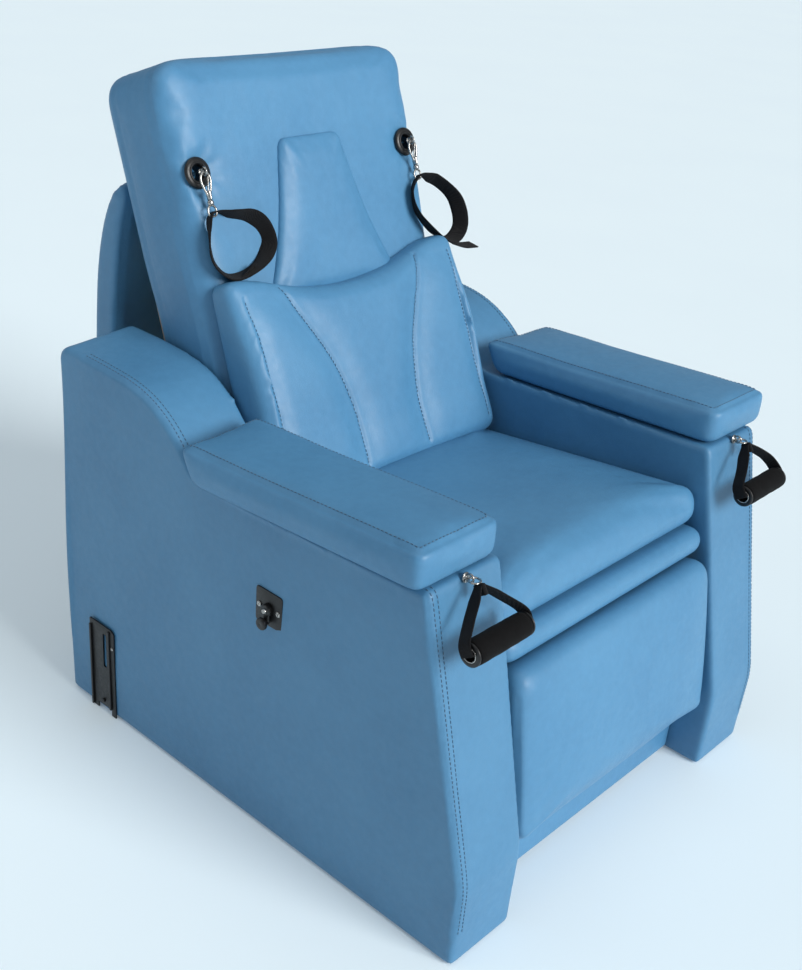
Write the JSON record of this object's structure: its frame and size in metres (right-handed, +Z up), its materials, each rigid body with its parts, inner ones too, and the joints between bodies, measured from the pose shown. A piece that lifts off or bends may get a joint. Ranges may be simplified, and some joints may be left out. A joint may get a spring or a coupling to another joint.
{
  "type": "patient recliner chair",
  "caption": "Upholstered patient recliner with reclining back, lifting legrest, padded box arms, backrest pull loops and strap hand grips.",
  "frame": {"origin": "on the floor, under the middle of the chair's bounding box", "axes": "+Z up, the chair faces -Y, the side lever is on the -X side"},
  "size_m": [0.918, 1.045, 1.1171],
  "materials": {
    "blue_leather": "semi-gloss grained upholstery leatherette",
    "side_leather": "semi-gloss grained upholstery leatherette",
    "plywood": "bare birch plywood",
    "black_steel": "satin black powder coat",
    "bright_steel": "nickel plated",
    "black_plastic": "moulded, satin",
    "wheel_rubber": "matte",
    "foam_rubber": "closed-cell foam, matte",
    "webbing": "woven strap, matte"
  },
  "bodies": {
    "base": {"arm_box_left": "side_leather", "arm_pad_left": "blue_leather", "glide_foot_front_left": "black_plastic", "glide_foot_rear_left": "black_plastic", "arm_box_right": "side_leather", "arm_pad_right": "blue_leather", "glide_foot_front_right": "black_plastic", "glide_foot_rear_right": "black_plastic", "seat_cushion": "blue_leather", "front_roll": "blue_leather", "apron": "blue_leather", "seat_platform": "plywood", "rear_cross_rail": "plywood", "back_pivot_bracket_left": "black_steel", "back_pivot_pin_left": "bright_steel", "legrest_pivot_pin_left": "bright_steel", "handle_eye_left": "bright_steel", "wheel_bracket_left": "black_steel", "back_pivot_bracket_right": "black_steel", "back_pivot_pin_right": "bright_steel", "legrest_pivot_pin_right": "bright_steel", "handle_eye_right": "bright_steel", "wheel_bracket_right": "black_steel", "gas_spring_cylinder": "black_steel", "lever_plate": "black_steel", "lever_screw_front": "bright_steel", "lever_screw_rear": "bright_steel", "lever_pivot_pin": "bright_steel"},
    "backrest": {"backrest_slab": "blue_leather", "headrest_pad": "blue_leather", "lumbar_cushion": "blue_leather", "rear_shell": "side_leather", "shell_spacer": "plywood", "backrest_board": "plywood", "recline_lever": "black_steel", "back_hinge_arm_left": "black_steel", "grommet_left": "black_plastic", "hook_anchor_eye_left": "bright_steel", "back_hinge_arm_right": "black_steel", "grommet_right": "black_plastic", "hook_anchor_eye_right": "bright_steel"},
    "hook_left": {"snap_hook_left": "bright_steel"},
    "loop_left": {"pull_loop_left": "webbing"},
    "handle_left": {"handle_ring_left": "bright_steel", "handle_webbing_left": "webbing", "grip_tube_left": "black_plastic"},
    "grip_left": {"foam_grip_left": "foam_rubber"},
    "wheel_left": {"transport_wheel_left": "wheel_rubber"},
    "hook_right": {"snap_hook_right": "bright_steel"},
    "loop_right": {"pull_loop_right": "webbing"},
    "handle_right": {"handle_ring_right": "bright_steel", "handle_webbing_right": "webbing", "grip_tube_right": "black_plastic"},
    "grip_right": {"foam_grip_right": "foam_rubber"},
    "wheel_right": {"transport_wheel_right": "wheel_rubber"},
    "lever": {"recline_handle": "black_plastic"},
    "gas_rod": {"gas_spring_rod": "bright_steel"},
    "legrest": {"legrest_cushion": "blue_leather", "legrest_board": "plywood"}
  },
  "joints": [
    {"name": "backrest_recline", "type": "hinge", "parent": "base", "child": "backrest", "pos_m": [0, 0.1565, 0.42], "axis": [-1, 0, 0], "range_deg": [0, 50]},
    {"name": "legrest_lift", "type": "hinge", "parent": "base", "child": "legrest", "pos_m": [0, -0.4415, 0.37], "axis": [-1, 0, 0], "range_deg": [0, 80]},
    {"name": "gas_rod_slide", "type": "slide", "parent": "base", "child": "gas_rod", "axis": [0, -1, 0], "range_m": [0, 0.0847]},
    {"name": "recline_handle_lift", "type": "hinge", "parent": "base", "child": "lever", "pos_m": [-0.43287, -0.12, 0.429], "axis": [-0.9996, 0, -0.03], "range_deg": [0, 40], "stiffness_Nm_per_rad": 0.3},
    {"name": "hook_left_swing", "type": "hinge", "parent": "backrest", "child": "hook_left", "pos_m": [-0.244, 0.27314, 0.96304], "axis": [-1, 0, 0], "range_deg": [0, 95]},
    {"name": "loop_left_swing", "type": "hinge", "parent": "hook_left", "child": "loop_left", "pos_m": [-0.244, 0.24858, 0.9007], "axis": [-1, 0, 0], "range_deg": [0, 80]},
    {"name": "handle_left_swing", "type": "hinge", "parent": "base", "child": "handle_left", "pos_m": [-0.361, -0.41946, 0.59558], "axis": [-1, 0, 0], "range_deg": [0, 60]},
    {"name": "grip_left_spin", "type": "hinge", "parent": "handle_left", "child": "grip_left", "pos_m": [-0.361, -0.478, 0.52944], "axis": [1, 0, 0], "continuous": true},
    {"name": "wheel_left_spin", "type": "hinge", "parent": "base", "child": "wheel_left", "pos_m": [-0.4047, 0.2975, 0.02347], "axis": [0.9996, 0, 0.03], "continuous": true},
    {"name": "hook_right_swing", "type": "hinge", "parent": "backrest", "child": "hook_right", "pos_m": [0.244, 0.27314, 0.96304], "axis": [-1, 0, 0], "range_deg": [0, 95]},
    {"name": "loop_right_swing", "type": "hinge", "parent": "hook_right", "child": "loop_right", "pos_m": [0.244, 0.24858, 0.9007], "axis": [-1, 0, 0], "range_deg": [0, 80]},
    {"name": "handle_right_swing", "type": "hinge", "parent": "base", "child": "handle_right", "pos_m": [0.361, -0.41946, 0.59558], "axis": [-1, 0, 0], "range_deg": [0, 60]},
    {"name": "grip_right_spin", "type": "hinge", "parent": "handle_right", "child": "grip_right", "pos_m": [0.361, -0.478, 0.52944], "axis": [1, 0, 0], "continuous": true},
    {"name": "wheel_right_spin", "type": "hinge", "parent": "base", "child": "wheel_right", "pos_m": [0.4047, 0.2975, 0.02347], "axis": [0.9996, 0, -0.03], "continuous": true}
  ],
  "couplings": [
    {"joint": "gas_rod_slide", "follows": "backrest_recline", "m_per_rad": 0.09697}
  ]
}
